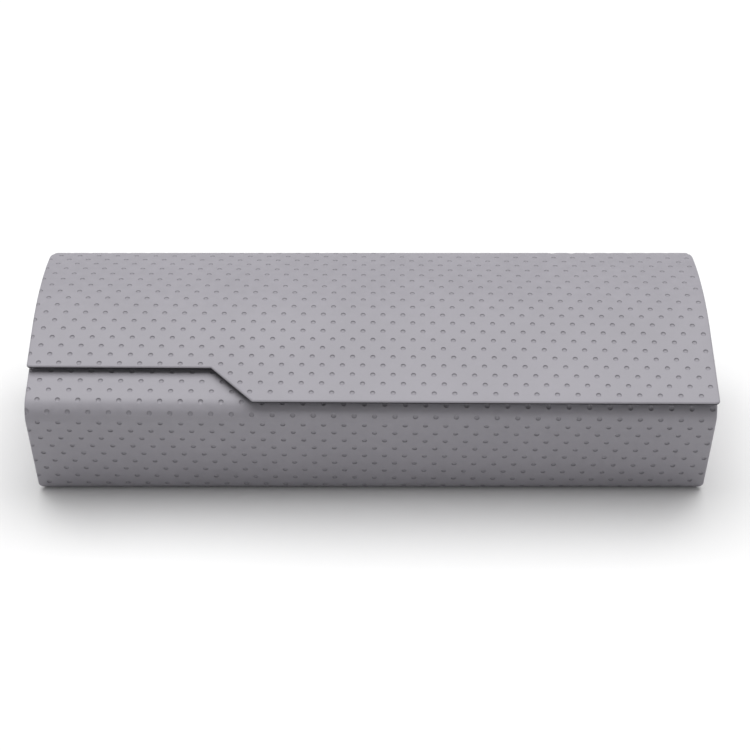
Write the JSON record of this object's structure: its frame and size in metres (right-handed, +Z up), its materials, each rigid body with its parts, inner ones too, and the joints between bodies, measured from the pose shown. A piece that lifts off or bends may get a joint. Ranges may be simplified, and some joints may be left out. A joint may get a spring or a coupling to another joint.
{
  "type": "eyeglasses case",
  "caption": "Hard eyeglasses case wrapped in dimpled grey leather, with an arched flap lid on a leather hinge, a stepped front edge and a magnetic catch.",
  "frame": {"origin": "centre of the base, on the surface the case stands on", "axes": "+X along the case to its right end, -Y to the front with the stepped flap, +Z up"},
  "size_m": [0.162, 0.0604, 0.0386],
  "materials": {
    "leather": "satin",
    "core_steel": "satin",
    "flannel": "matte",
    "card": "matte",
    "pad": "matte",
    "magnet": "polished"
  },
  "bodies": {
    "tray": {"tray_cover": "leather", "tray_shell": "core_steel", "tray_lining": "flannel", "end_cover_left": "leather", "end_cover_right": "leather", "end_plate_left": "core_steel", "end_plate_right": "core_steel", "end_lining_left": "flannel", "end_lining_right": "flannel", "floor_card": "card", "floor_pad": "pad", "shelf_magnet_left": "magnet", "shelf_magnet_right": "magnet", "hinge_leather": "leather", "hinge_lining": "flannel"},
    "lid": {"lid_cover": "leather", "lid_shell": "core_steel", "lid_lining": "flannel", "flap_magnet_left": "magnet", "flap_magnet_right": "magnet"}
  },
  "joints": [
    {"name": "lid_hinge", "type": "hinge", "parent": "tray", "child": "lid", "pos_m": [0, 0.02968, 0.03428], "axis": [-1, 0, 0], "range_deg": [0, 120], "deforming": ["hinge_leather", "hinge_lining"]}
  ]
}
